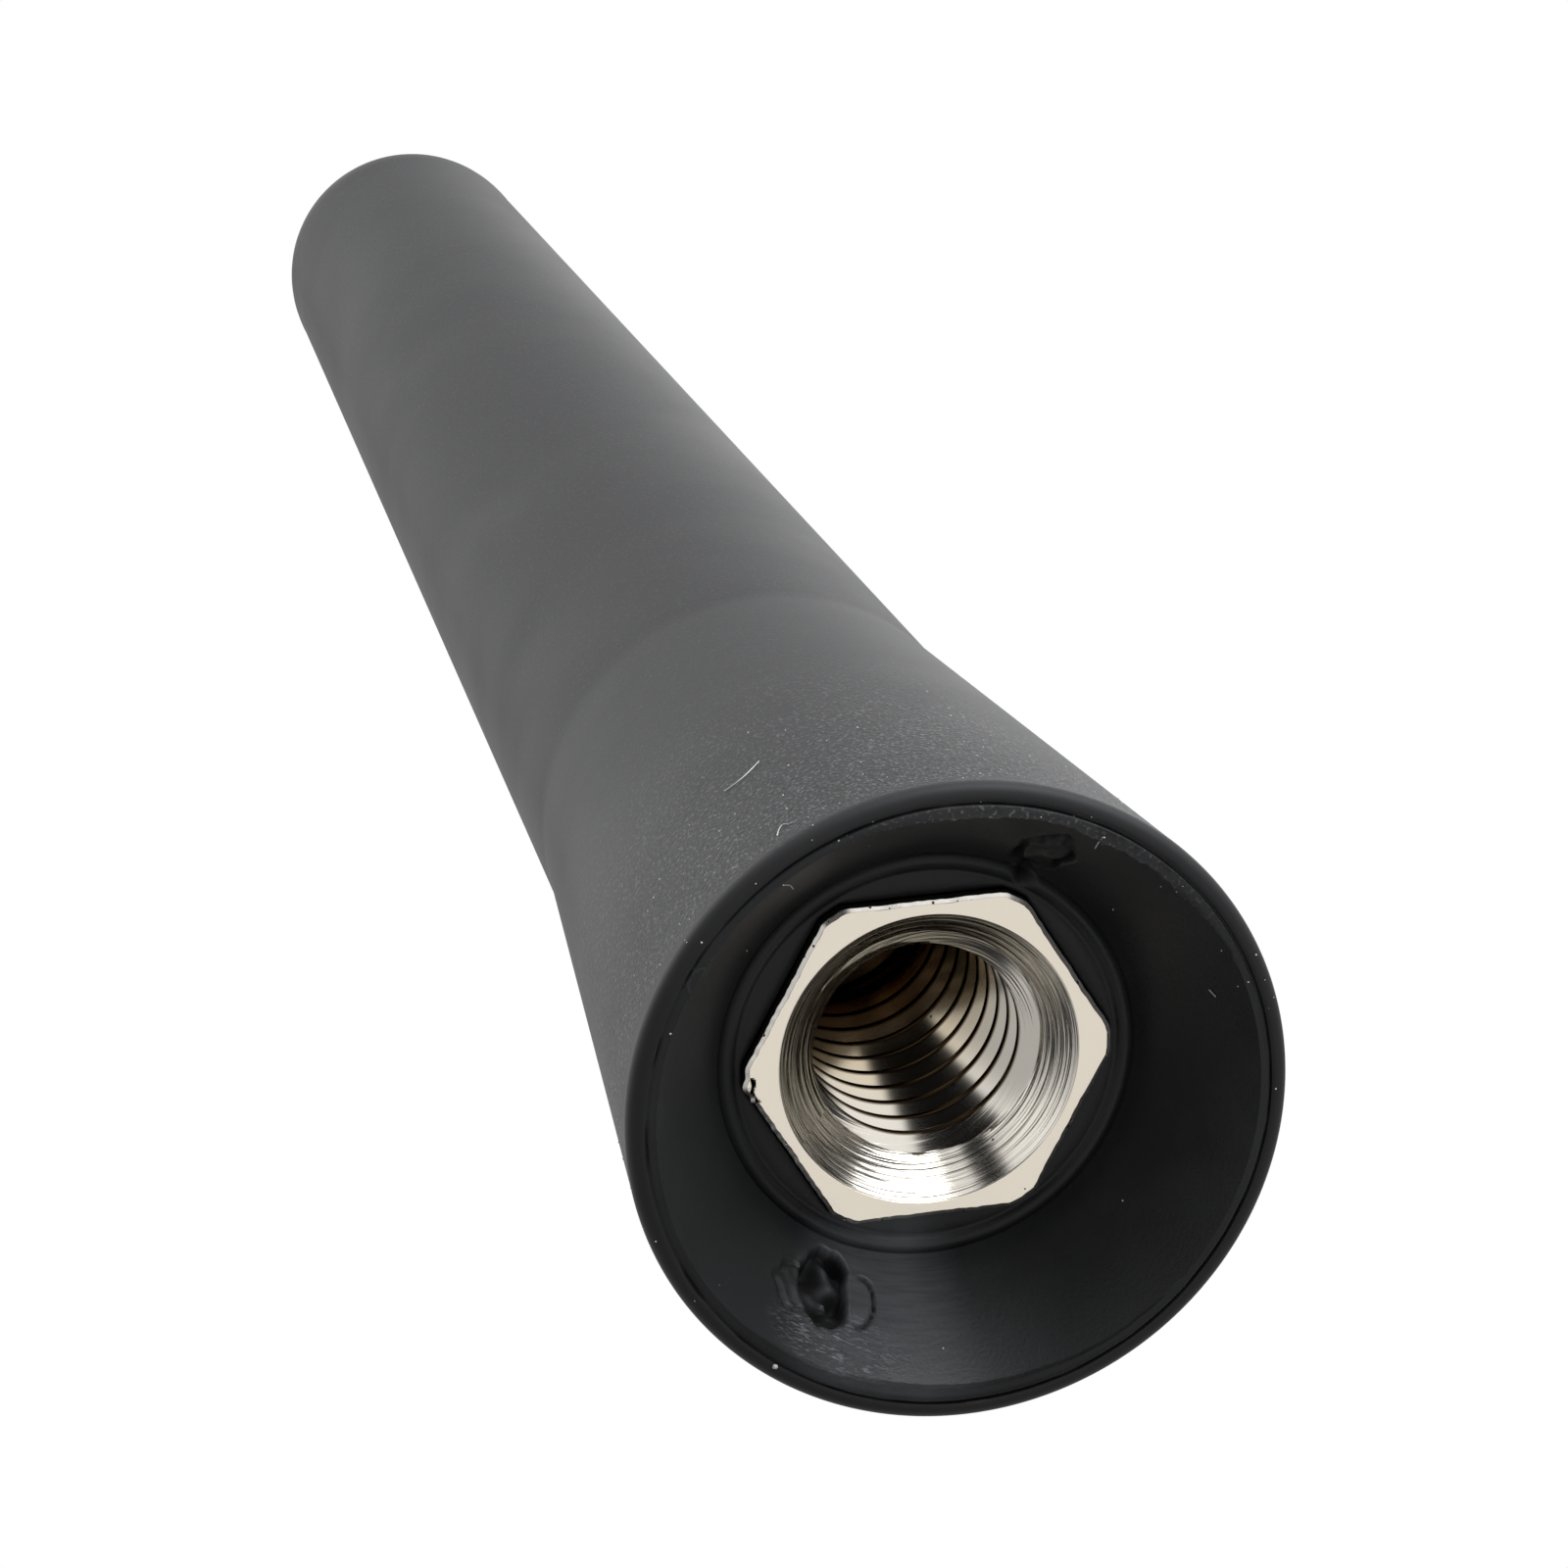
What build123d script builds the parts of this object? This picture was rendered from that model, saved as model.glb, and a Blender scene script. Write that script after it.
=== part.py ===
from build123d import *
import math
import os

# A short car roof mast aerial. A rubber sheath is moulded over a wound glass-fibre rod and over the brass
# insert that screws the mast onto its roof base. Lengths are millimetres and angles are degrees. +Z runs
# along the mast from the rim of its base to its tip, and z = 0 is the plane of that rim. A corner of the
# insert's hexagon points along -Y.

# Rubber sheath, outside
mast_length = 80.0  # rim plane to tip
base_diameter = 15.8  # widest, just above the rim
flare_height = 21.2  # rim plane to the waist
waist_diameter = 11.8  # where the flare meets the shaft
tip_diameter = 8.1  # where the dome starts
dome_height = 3.6
rim_rounding = 0.5  # outer edge of the rim
rim_steps = 3  # the small rounding is drawn in straight steps

# Rubber sheath, dish under the base
rim_land = 0.2  # width of the flat ring that the mast stands on
dish_depth = 3.45  # rim plane to the floor round the insert
dish_foot_diameter = 10.1  # where the sloped wall ends
bead_width = 0.4  # raised ring between the sloped wall and the floor
bead_top_width = 0.2
bead_height = 0.18

# Two injection gates, broken off in shallow wells on the dish's sloped wall
gate_circle_diameter = 11.6
gate_direction = 150.0  # of the first gate, from +X, over a corner of the hexagon
gate_well_diameter = 1.7
gate_well_depth = 0.3
gate_stub_diameter = 0.9
gate_stub_height = 0.45  # from the floor of the well

# Threaded insert
hex_across_flats = 8.0
hex_bar_diameter = 8.9  # round bar that the hexagon is milled from, which blunts its corners
hex_length = 8.0
hex_proud = 0.32  # face above the dish's floor
countersink_diameter = 7.28
countersink_angle = 90.0
thread_minor_diameter = 5.0  # M6 x 1, cut in a 5 mm hole
thread_length = 10.5
drill_point_angle = 118.0
lock_groove_diameter = 6.9  # the rubber grips the insert here
lock_groove_width = 1.5
collar_diameter = 7.8
web_thickness = 2.5  # solid brass between the drilled hole and the rod's socket
rod_socket_depth = 7.5
stem_length = 9.0
insert_edge_break = 0.3

# Core
rod_diameter = 4.0
rod_edge_break = 0.3
tip_cover = 6.5  # solid rubber beyond the end of the rod
wire_diameter = 0.8
wire_sides = 6  # the wire's round section is drawn with flats
winding_turns = 14
turn_steps = 12  # each turn is drawn in straight steps
winding_end_margin = 2.0  # bare rod beyond the last turn
solder_height = 0.8
sleeve_wall = 0.3
fit_clearance = 0.02  # all round each inner piece

# Heights along the mast that several pieces share
insert_face_z = dish_depth - hex_proud
countersink_step = (countersink_diameter - thread_minor_diameter) / 2
thread_start_z = insert_face_z + countersink_step / math.tan(math.radians(countersink_angle / 2))
thread_end_z = thread_start_z + thread_length
drill_point_z = thread_end_z + thread_minor_diameter / 2 / math.tan(math.radians(drill_point_angle / 2))
socket_floor_z = drill_point_z + web_thickness
stem_top_z = socket_floor_z + rod_socket_depth
collar_top_z = stem_top_z - stem_length
hex_top_z = insert_face_z + hex_length
collar_bottom_z = hex_top_z + lock_groove_width
solder_top_z = stem_top_z + solder_height
rod_top_z = mast_length - tip_cover

# Radii and diameters that follow from the winding, whose straight steps clear the rod
step_stretch = 1 / math.cos(math.pi / turn_steps)
coil_radius = ((rod_diameter + wire_diameter) / 2 + fit_clearance) * step_stretch
stem_diameter = 2 * coil_radius + wire_diameter * step_stretch
sleeve_bore_diameter = stem_diameter + 2 * fit_clearance
sleeve_diameter = sleeve_bore_diameter + 2 * sleeve_wall

dish_mouth_radius = base_diameter / 2 - rim_rounding - rim_land
dish_foot_radius = dish_foot_diameter / 2
dish_slope = math.degrees(math.atan2(dish_depth, dish_mouth_radius - dish_foot_radius))


def turned(*outline):
    """A solid of revolution round the mast's axis, from the lines and arcs of half its section."""
    with BuildPart() as solid:
        with BuildSketch(Plane.XZ):
            with BuildLine():
                for piece in outline:
                    add(piece)
            make_face()
        revolve(axis=Axis.Z)
    return solid.part


def cylinder(diameter, bottom_z, top_z):
    """A plain cylinder on the mast's axis."""
    return Pos(0, 0, bottom_z) * Cylinder(
        diameter / 2, top_z - bottom_z, align=(Align.CENTER, Align.CENTER, Align.MIN)
    )


def hexagon_bar(across_flats, bar_diameter, bottom_z, top_z):
    """A hexagonal prism with its corners blunted by the round bar, one of them along -Y."""
    section = RegularPolygon(across_flats / 2, side_count=6, major_radius=False, rotation=90)
    prism = extrude(Pos(0, 0, bottom_z) * section, top_z - bottom_z)
    return prism & cylinder(bar_diameter, bottom_z, top_z)


def insert_outside(clearance):
    """The insert's hexagon, groove and collar, grown by a clearance all round but not past the front face."""
    across_flats = hex_across_flats + 2 * clearance
    bar_diameter = hex_bar_diameter + 2 * clearance
    hexagon = hexagon_bar(across_flats, bar_diameter, insert_face_z, hex_top_z + clearance)
    groove = cylinder(lock_groove_diameter + 2 * clearance, hex_top_z, collar_bottom_z)
    collar = cylinder(collar_diameter + 2 * clearance, collar_bottom_z - clearance, collar_top_z + clearance)
    return hexagon + groove + chamfer(collar.edges().filter_by(GeomType.CIRCLE), insert_edge_break)


def sheath_outside():
    """The rounded rim, flare, shaft and domed tip, as one solid block."""
    rim = []
    for step in range(rim_steps + 1):
        angle = step / rim_steps * math.pi / 2
        from_rim_centre = (rim_rounding * math.sin(angle), -rim_rounding * math.cos(angle))
        rim.append((base_diameter / 2 - rim_rounding + from_rim_centre[0], rim_rounding + from_rim_centre[1]))
    waist = (waist_diameter / 2, flare_height)
    shoulder = (tip_diameter / 2, mast_length - dome_height)
    tip = (0, mast_length)
    dome_radius = (dome_height**2 + (tip_diameter / 2) ** 2) / 2 / dome_height
    return turned(Polyline(tip, (0, 0), *rim, waist, shoulder), RadiusArc(shoulder, tip, -dome_radius))


def dish():
    """The hollow under the base: a sloped wall, a raised bead and a flat floor."""
    bead_top_z = dish_depth - bead_height
    bead_side = (bead_width - bead_top_width) / 2
    return turned(
        Polyline(
            (0, 0),
            (dish_mouth_radius, 0),
            (dish_foot_radius, dish_depth),
            (dish_foot_radius - bead_side, bead_top_z),
            (dish_foot_radius - bead_side - bead_top_width, bead_top_z),
            (dish_foot_radius - bead_width, dish_depth),
            (0, dish_depth),
            (0, 0),
        )
    )


def gate_place(direction):
    """A place on the sloped wall whose Z axis points out of the rubber."""
    gate_radius = gate_circle_diameter / 2
    share = (dish_mouth_radius - gate_radius) / (dish_mouth_radius - dish_foot_radius)
    upright = Pos(gate_radius, 0, share * dish_depth) * Rot(0, -90 - dish_slope, 0)
    return Rot(0, 0, direction) * upright


def rubber_sheath():
    """The one moulding: its dish, its broken gates, and the hollow that the insert and the core fill."""
    solid = sheath_outside() - dish()
    for direction in (gate_direction, gate_direction + 180):
        well_floor = gate_place(direction) * Pos(0, 0, -gate_well_depth)
        upwards = (Align.CENTER, Align.CENTER, Align.MIN)
        solid -= well_floor * Cylinder(gate_well_diameter / 2, 2 * gate_well_depth, align=upwards)
        solid += well_floor * Cylinder(gate_stub_diameter / 2, gate_stub_height, align=upwards)
    hollow = insert_outside(fit_clearance)
    hollow += cylinder(sleeve_diameter + 2 * fit_clearance, collar_top_z, rod_top_z + fit_clearance)
    return solid - hollow


def threaded_insert():
    """The turned brass insert: countersunk and drilled for its thread below, bored for the rod above."""
    blank = insert_outside(0) + cylinder(stem_diameter, collar_top_z, stem_top_z)
    thread_radius = thread_minor_diameter / 2
    hole = turned(
        Polyline(
            (0, insert_face_z),
            (countersink_diameter / 2, insert_face_z),
            (thread_radius, thread_start_z),
            (thread_radius, thread_end_z),
            (0, drill_point_z),
            (0, insert_face_z),
        )
    )
    return blank - hole - cylinder(rod_diameter + 2 * fit_clearance, socket_floor_z, stem_top_z)


def core_rod():
    """The glass-fibre rod that stiffens the mast and carries the winding."""
    rod = cylinder(rod_diameter, socket_floor_z, rod_top_z)
    return chamfer(rod.edges().filter_by(GeomType.CIRCLE), rod_edge_break)


def antenna_winding():
    """The wire wound up the rod, from the solder on the insert's stem to near the rod's end."""
    wire_radius = wire_diameter / 2
    first_z = solder_top_z + wire_radius + fit_clearance
    last_z = rod_top_z - winding_end_margin - wire_radius
    steps = winding_turns * turn_steps
    corners = []
    for step in range(steps + 1):
        angle = step / turn_steps * 2 * math.pi
        rise = step / steps * (last_z - first_z)
        corners.append((coil_radius * math.cos(angle), coil_radius * math.sin(angle), first_z + rise))
    path = Polyline(*corners)
    section = Plane(origin=path @ 0, z_dir=path % 0) * RegularPolygon(wire_radius, wire_sides)
    return sweep(section, path=path, transition=Transition.RIGHT)


def solder_joint():
    """The ring of solder that joins the wire's lower end to the insert's stem."""
    bore_radius = rod_diameter / 2 + fit_clearance
    top_radius = bore_radius + wire_diameter / 2
    return turned(
        Polyline(
            (bore_radius, stem_top_z),
            (stem_diameter / 2, stem_top_z),
            (top_radius, solder_top_z),
            (bore_radius, solder_top_z),
            (bore_radius, stem_top_z),
        )
    )


def winding_sleeve():
    """The thin shrunk sleeve over the stem and the winding, which keeps the turns in place."""
    outside = cylinder(sleeve_diameter, collar_top_z, rod_top_z)
    return outside - cylinder(sleeve_bore_diameter, collar_top_z, rod_top_z)


os.makedirs("parts", exist_ok=True)
for piece in (rubber_sheath, threaded_insert, core_rod, antenna_winding, solder_joint, winding_sleeve):
    export_step(piece(), f"parts/{piece.__name__}.step")
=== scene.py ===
import math

import bmesh
import bpy
import numpy as np
from mathutils import Matrix, Vector


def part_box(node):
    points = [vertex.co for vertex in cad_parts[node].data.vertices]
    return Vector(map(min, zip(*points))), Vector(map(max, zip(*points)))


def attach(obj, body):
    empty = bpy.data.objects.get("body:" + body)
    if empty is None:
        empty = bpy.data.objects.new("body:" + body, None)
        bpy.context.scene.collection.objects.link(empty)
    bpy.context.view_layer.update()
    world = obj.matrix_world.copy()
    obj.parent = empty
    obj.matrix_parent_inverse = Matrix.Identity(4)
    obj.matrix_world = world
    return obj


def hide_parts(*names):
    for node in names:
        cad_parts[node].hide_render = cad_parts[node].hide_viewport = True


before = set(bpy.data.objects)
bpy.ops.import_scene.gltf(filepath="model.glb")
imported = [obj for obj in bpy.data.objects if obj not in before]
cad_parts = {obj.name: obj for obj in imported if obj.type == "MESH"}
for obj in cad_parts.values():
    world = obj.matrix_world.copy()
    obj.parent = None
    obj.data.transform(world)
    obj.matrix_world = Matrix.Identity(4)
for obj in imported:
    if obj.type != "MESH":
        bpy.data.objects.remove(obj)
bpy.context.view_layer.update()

# A short car roof mast aerial, seen from under its base. The rubber sheath, the threaded insert and the
# winding are modelled again here with their fine forms: the flash line, the torn gates, the thread, the worn
# hexagon and the round wire. Sizes are millimetres until a mesh is made in metres, and directions are
# degrees round the mast from +X.
MM = 0.001

# Sizes that the frame gives
_, sheath_high = (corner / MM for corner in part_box("rubber_sheath"))
insert_low, insert_high = (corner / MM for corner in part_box("threaded_insert"))
rod_low, rod_high = (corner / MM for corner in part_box("core_rod"))
winding_low, winding_high = (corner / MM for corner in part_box("antenna_winding"))
sleeve_low, sleeve_high = (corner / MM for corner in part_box("winding_sleeve"))
mast_length = sheath_high.z
base_radius = sheath_high.y
insert_face = insert_low.z
stem_top = insert_high.z
hex_half_flats = insert_high.x
hex_bar_radius = insert_high.y
rod_radius = rod_high.y
rod_top = rod_high.z
socket_floor = rod_low.z
collar_top = sleeve_low.z
sleeve_radius = sleeve_high.y

# Sheath, outside
waist_radius = 5.9
flare_height = 21.2
waist_blend = 0.5
tip_radius = 4.05
dome_height = 3.6
dome_fullness = 2.8  # 2 is an oval, and more is squarer
rim_turn_height = 0.48
rim_turn_bulge = 0.05
sheath_columns = 400

# Sheath, rim: a flash line with a groove, and a lip inside it that is broad at one side and torn at another
flash_radius = 7.43
flash_wander = 0.016
flash_width = 0.06
flash_depth = 0.12
flash_groove = (  # shares of the width and of the depth
    (1.5, 0.08), (0.7, 0.25), (0.3, 1.0), (-0.3, 1.0), (-0.7, 0.2), (-1.2, 0.0),
)
whole_rim_direction = 205.0  # the groove nearly closes here
lip_width = 0.14
lip_rise = 0.005
lip_edge = 0.03
lip_raggedness = 0.02
broad_lip_width = 0.29
broad_lip_direction = 132.0
torn_lip_width = 0.31
torn_lip_raggedness = 0.06
torn_lip_rise = 0.02
torn_lip_end = 0.05  # how far its end rises
torn_lip_direction = -38.0
lit_lip_direction = -15.0  # the torn lip's paler colour, a painted light, grows on from here

# Sheath, dish
hex_proud = 0.32
dish_depth = insert_face + hex_proud
dish_mouth = 7.2
dish_foot = 5.05
dish_fall = dish_mouth - dish_foot
wall_length = math.hypot(dish_fall, dish_depth)
wall_inward = dish_depth / wall_length
wall_downward = dish_fall / wall_length
wall_steps = 72
wall_unevenness = 0.012
dish_swell = 0.04
swell_sharpness = 8
swell_direction = 142.0
bead_width = 0.4
bead_inner = dish_foot - bead_width
bead_height = 0.08
bead_steps = 14
crease_depth = 0.02
crease_width = 0.05
pocket_mouth = 0.6  # depth of the first row inside the insert's pocket

# Sheath, gates, on the dish's wall. A place at a gate is outward along the wall and across it, and an oval
# is its middle, its half length and its half width. An edge is waves of a size, a number and a phase.
gate_direction = 150.0
gate_crowding = 0.55
torn_gate_radius = 5.88
torn_gate_oval = ((0.0, 0.04), 1.22, 0.68)
torn_gate_edge = ((0.06, 3, 3.6), (0.05, 5, 0.4), (0.02, 11, 0))
torn_gate_burr = 0.03
torn_gate_depth = 0.25
torn_gate_ripple = 0.03
torn_gate_lumps = (  # outward, across, width and height
    (-0.62, 0.05, 0.26, 0.14), (-0.15, -0.10, 0.30, 0.16), (0.57, 0.04, 0.15, 0.28),
    (0.40, 0.30, 0.26, 0.12), (-0.35, 0.44, 0.24, -0.30), (-0.88, -0.34, 0.24, -0.34),
    (0.30, -0.40, 0.22, -0.24), (0.90, 0.10, 0.22, -0.16),
)
gate_flake_oval = ((0.42, 0.86), 0.64, 0.50)
gate_flake_edge = ((0.10, 5, 0), (0.06, 8, 1))
gate_flake_rise = 0.02
gate_flake_ripple = 0.02
gate_flake_crease = 0.06
gate_flap_oval = ((0.10, -0.90), 0.70, 0.36)
gate_flap_rise = 0.015
gate_flap_cut = 0.12
gate_flap_cut_start = -0.75  # across
small_gate_radius = 5.91
small_gate_direction = -33.4
small_gate_oval = ((0.0, 0.0), 1.20, 0.56)
small_gate_edge = ((0.09, 2, 0.5), (0.08, 5, 1.0), (0.04, 9, 0))
small_gate_lean = -11.0
small_gate_depth = 0.24
small_gate_stub = 0.05
scar_fade_steps = 6  # the gates' marks fade in over the wall's first rows
tear_start = -0.20  # this, the sweep and the place on the bead are across
tear_sweep = 0.60
tear_width = 0.18
bead_tear_place = 0.4
bead_tear_width = 0.22
bead_tear_depth = 0.9  # share of the bead

# Sheath, marks on its finish, and where painted light and shade lie on it
# The side where the rim's painted shade is lighter and narrower
painted_light_direction = (0.59, -0.81, 0.0)
dull_wall_direction = 198.0
# The side of the dish whose colour is painted darker as shade
shaded_wall_direction = 126.0
# The middle of the painted sheen on the dish's wall
painted_sheen_direction = 137.0
scuff_centre = (-5.60, 3.70, 0.90)
scuff_direction = 57.0
witness_centre = (-3.277, -6.207, 0.364)
witness_radius = 0.52

# Insert
mouth_radius = 3.64
thread_pitch = 1.0
thread_minor = 2.5
thread_depth = 0.5
root_half_width = 0.11  # this and the flank are shares of the pitch
flank_width = 0.29
root_radius = thread_minor + thread_depth
sink_depth = mouth_radius - thread_minor
thread_length = 10.5
thread_end = insert_face + sink_depth + thread_length
drill_point_angle = 118.0
drill_point = thread_end + thread_minor / math.tan(math.radians(drill_point_angle / 2))
run_out = 1.6
hex_length = 8.0
hex_top = insert_face + hex_length
hex_face_inset = 0.30  # the plain face ends here
hex_face_rows = (0.35, 0.7, 1.0)  # shares of the plain face
hex_edge = 0.09
hex_edge_unevenness = 0.03
hex_edge_loss = 0.02
hex_edge_wear = (  # inset and rise in shares of the edge, and share of the wear
    (1.2, 0.0, 1.0), (0.1, 0.5, 1.0), (0.0, 1.0, 0.8), (0.0, 4.0, 0.3), (0.0, 8.0, 0.0),
)
groove_radius = 3.45
groove_width = 1.5
collar_bottom = hex_top + groove_width
collar_radius = 3.9
edge_break = 0.3
stem_radius = 2.92
nick_direction = -154.0
nick_length = 0.7
nick_end_length = 0.08
nick_rows = (0.26, 0.22, 0.19, 0.17, 0.15, 0.13)  # insets from the hexagon
nick_slit_inset = 0.15
nick_slit_wave = 0.05
nick_slit_depth = 0.24
nick_slit_width = 0.025
nick_burr = 0.05
nick_burr_wave = 0.04
nick_crowding = 0.6
insert_columns = 240
rows_per_pitch = 24
# The side of the countersink painted darker as shade
shaded_sink_direction = (-0.19, -0.98, 0.0)

# Core
fit_clearance = 0.02
wire_radius = 0.4
wire_sides = 14
turn_points = 48
winding_turns = 14
sleeve_wall = 0.3
coil_radius = (rod_radius + fit_clearance + sleeve_radius - sleeve_wall) / 2

# Dust and lint. A hair lies along the flare or the dish's wall, through directions and heights.
dust_density = 2.2  # specks on a square millimetre
dust_height = 11.0
smallest_speck = 0.006
largest_speck = 0.028
dust_seed = 7
lip_dust = 0.8  # this and the dish's are shares of the density
dish_dust = 0.03
flake_centre = (-6.98, 2.834, 0.0)
flake_radius = 0.06
flake_crumple = 0.25  # share of its radius
flake_waves = (90.0, 70.0)  # radians in a millimetre
hair_radius = 0.014
hair_sides = 6
hair_lift = 0.03
flare_side = (base_radius, waist_radius, flare_height, hair_lift)
wall_side = (dish_mouth, dish_foot, dish_depth, -hair_lift)
hairs = (
    (flare_side, ((-93.6, 6.20), (-91.6, 6.17), (-89.5, 6.23), (-87.4, 6.40), (-85.2, 6.66))),
    (flare_side, ((-89.9, 0.99), (-88.9, 1.35), (-88.0, 1.44), (-87.3, 1.26), (-86.6, 1.22))),
    (wall_side, ((-94.0, 0.0), (-93.6, 0.23), (-93.2, 0.52), (-93.3, 1.18))),
    (wall_side, ((-30.6, -0.06), (-30.7, 0.03), (-29.9, 0.34), (-28.7, 0.70))),
    (wall_side, ((-30.7, 0.03), (-30.5, 0.15), (-29.1, 0.33))),
    (wall_side, ((13.9, 1.05), (14.8, 0.98), (15.4, 0.92))),
)

# Stage. A patch of the surroundings is a direction and the angles of its soft edge and its core.
floor_half_width = 2000.0
floor_drop = 0.03
shadow_end = 40.0  # the floor fades to the backdrop from here
backdrop_start = 160.0
ambient_level = 0.42
left_patch = ((-0.70, -0.02, -0.71), 42, 18)
corner_patches = (((0.60, 0.38, -0.70), 27, 18), ((-0.36, 0.72, -0.59), 27, 18))
lens_patches = (((0.06, -0.56, -0.82), 23, 19), ((0.11, -0.89, -0.43), 12, 7))
aim_height = 15.0
softboxes = (  # name, direction, then distance, width and height in metres, brightness and colour
    ("top_softbox", (0.86, -0.49, -0.14), 0.35, 0.33, 0.28, 5.8, (0.94, 0.97, 1.0)),
    ("overhead_softbox", (-0.45, -0.55, 0.70), 0.60, 0.40, 0.40, 1.7, (1, 1, 1)),
    ("back_softbox", (0.50, 0.15, 0.85), 0.60, 0.30, 0.30, 1.7, (1, 1, 1)),
)
camera_place = (0.94, -68.97, -143.65)
camera_azimuth = 0.13
camera_tilt = 67.41
camera_roll = -33.99
focal_length = 158.0
sensor_width = 36.0


# Meshes

def steps(start, end, count):
    """Points on a straight stretch of an outline, from after its start to its end."""
    return [
        tuple(first + (last - first) * step / count for first, last in zip(start, end))
        for step in range(1, count + 1)
    ]


def bend(start, corner, end, count, share):
    """Points on a smooth bend round an outline's corner, from after its start to a share of its length."""
    points = []
    for step in range(1, count + 1):
        part = share * step / count
        points.append(tuple(
            (1 - part) ** 2 * first + 2 * part * (1 - part) * middle + part**2 * last
            for first, middle, last in zip(start, corner, end)
        ))
    return points


def turn_from(directions, direction):
    """Signed turn from a direction in degrees, in radians from minus half a turn to half a turn."""
    return (directions - math.radians(direction) + math.pi) % (2 * math.pi) - math.pi


def smooth_step(value):
    """0 below 0 and 1 above 1, with a smooth change between."""
    value = np.clip(value, 0.0, 1.0)
    return value * value * (3 - 2 * value)


def hump(value, width):
    """A rounded hump of height 1 where the value is 0."""
    return np.exp(-((value / width) ** 2))


def wander(directions, seed, waves):
    """An uneven line round the mast: a sum of waves with fixed random phases, from about -1 to 1."""
    chance = np.random.default_rng(seed)
    total = np.zeros_like(directions)
    for wave in waves:
        total += np.sin(wave * directions + chance.uniform(0, 2 * math.pi)) * chance.uniform(0.5, 1.0)
    return total / len(waves)


def crowded_directions(columns, crowding, direction, places):
    """Directions of a mesh's columns in radians, crowded at evenly spaced places, the first one given."""
    even = np.linspace(0, 2 * math.pi, columns + 1)
    return even - crowding / places * np.sin(places * (even - math.radians(direction)))


def ring(directions, radius, height):
    """One row of points round the mast. A plain number is the same in every direction."""
    return np.broadcast_to(radius, directions.shape), np.broadcast_to(height, directions.shape)


def rings(directions, outline):
    """A row of points round the mast for each radius and height of an outline."""
    return [ring(directions, radius, height) for radius, height in outline]


def turned_mesh(name, rows, directions, finishes, marks):
    """A closed mesh through rows of points round the mast, with a finish per row and marks per point."""
    radii, heights = (np.array(values) for values in zip(*rows))
    points = np.stack([radii * np.cos(directions), radii * np.sin(directions), heights], axis=-1) * MM
    columns = len(directions)
    row, column = np.meshgrid(np.arange(len(rows) - 1), np.arange(columns - 1), indexing="ij")
    corner = row * columns + column
    faces = np.stack([corner, corner + 1, corner + columns + 1, corner + columns], axis=-1).reshape(-1, 4)
    mesh = bpy.data.meshes.new(name)
    mesh.from_pydata(points.reshape(-1, 3).tolist(), [], faces.tolist())
    mesh.polygons.foreach_set("material_index", np.repeat(finishes, columns - 1).astype(np.int32))
    for mark, values in marks.items():
        layer = mesh.attributes.new(mark, "FLOAT", "POINT")
        layer.data.foreach_set("value", values.ravel().astype(np.float32))
    shell = bmesh.new()
    shell.from_mesh(mesh)
    bmesh.ops.remove_doubles(shell, verts=shell.verts, dist=1e-3 * MM)
    bmesh.ops.recalc_face_normals(shell, faces=shell.faces)
    shell.to_mesh(mesh)
    shell.free()
    return mesh


def placed(name, data):
    """An object at the origin with a mesh, a lamp or a camera."""
    piece = bpy.data.objects.new(name, data)
    bpy.context.scene.collection.objects.link(piece)
    return piece


def shade_by_angle(mesh, angle):
    """Smooth shading, with edges sharper than the angle kept crisp."""
    mesh.polygons.foreach_set("use_smooth", np.ones(len(mesh.polygons), dtype=bool))
    mesh.set_sharp_from_angle(angle=math.radians(angle))


# Nodes

def feed(tree, node, inputs):
    """Gives a node its inputs. One that is a socket is linked, and any other is a value."""
    for socket, value in inputs.items():
        if isinstance(value, bpy.types.NodeSocket):
            tree.links.new(value, node.inputs[socket])
        else:
            node.inputs[socket].default_value = value


def add_node(tree, kind, inputs=None, **settings):
    """The outputs of a new node, with its settings made and its inputs given."""
    made = tree.nodes.new(kind)
    for setting, value in settings.items():
        setattr(made, setting, value)
    feed(tree, made, inputs or {})
    return made.outputs


def new_tree(kind, name, inputs, outputs):
    """A node tree with named sockets, and what its inputs give. Most sockets are plain values."""
    special = {"Geometry": "NodeSocketGeometry", "Place": "NodeSocketVector", "Seed": "NodeSocketInt"}
    tree = bpy.data.node_groups.new(name, kind)
    for in_out, sockets in (("INPUT", inputs), ("OUTPUT", outputs)):
        for socket in sockets:
            socket_type = special.get(socket, "NodeSocketFloat")
            tree.interface.new_socket(socket, in_out=in_out, socket_type=socket_type)
    return tree, add_node(tree, "NodeGroupInput")


def calculate(tree, operation, first, *others, clamp=False):
    """The result of an operation on values or sockets, one after another."""
    result = first
    for other in others or (0.0,):
        inputs = {0: result, 1: other}
        result = add_node(tree, "ShaderNodeMath", inputs, operation=operation, use_clamp=clamp)[0]
    return result


def apart(tree, first, second):
    """How far apart two values are."""
    return calculate(tree, "ABSOLUTE", calculate(tree, "SUBTRACT", first, second))


def times(tree, *values):
    """The product of values or sockets."""
    return calculate(tree, "MULTIPLY", *values)


def ramp(tree, value, low, high, start=0.0, end=1.0, course="SMOOTHSTEP"):
    """A change from start to end as a value goes from low to high."""
    inputs = {"Value": value, "From Min": low, "From Max": high, "To Min": start, "To Max": end}
    return add_node(tree, "ShaderNodeMapRange", inputs, interpolation_type=course)[0]


def stretched(tree, place, factors):
    """A place with its X, Y and Z multiplied."""
    return add_node(tree, "ShaderNodeVectorMath", {0: place, 1: factors}, operation="MULTIPLY")[0]


def measured(tree, operation, place, other=(0, 0, 0)):
    """A length, a distance or a dot product."""
    return add_node(tree, "ShaderNodeVectorMath", {0: place, 1: other}, operation=operation)["Value"]


def split(tree, place):
    """The X, Y and Z of a place."""
    return add_node(tree, "ShaderNodeSeparateXYZ", {0: place})


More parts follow.
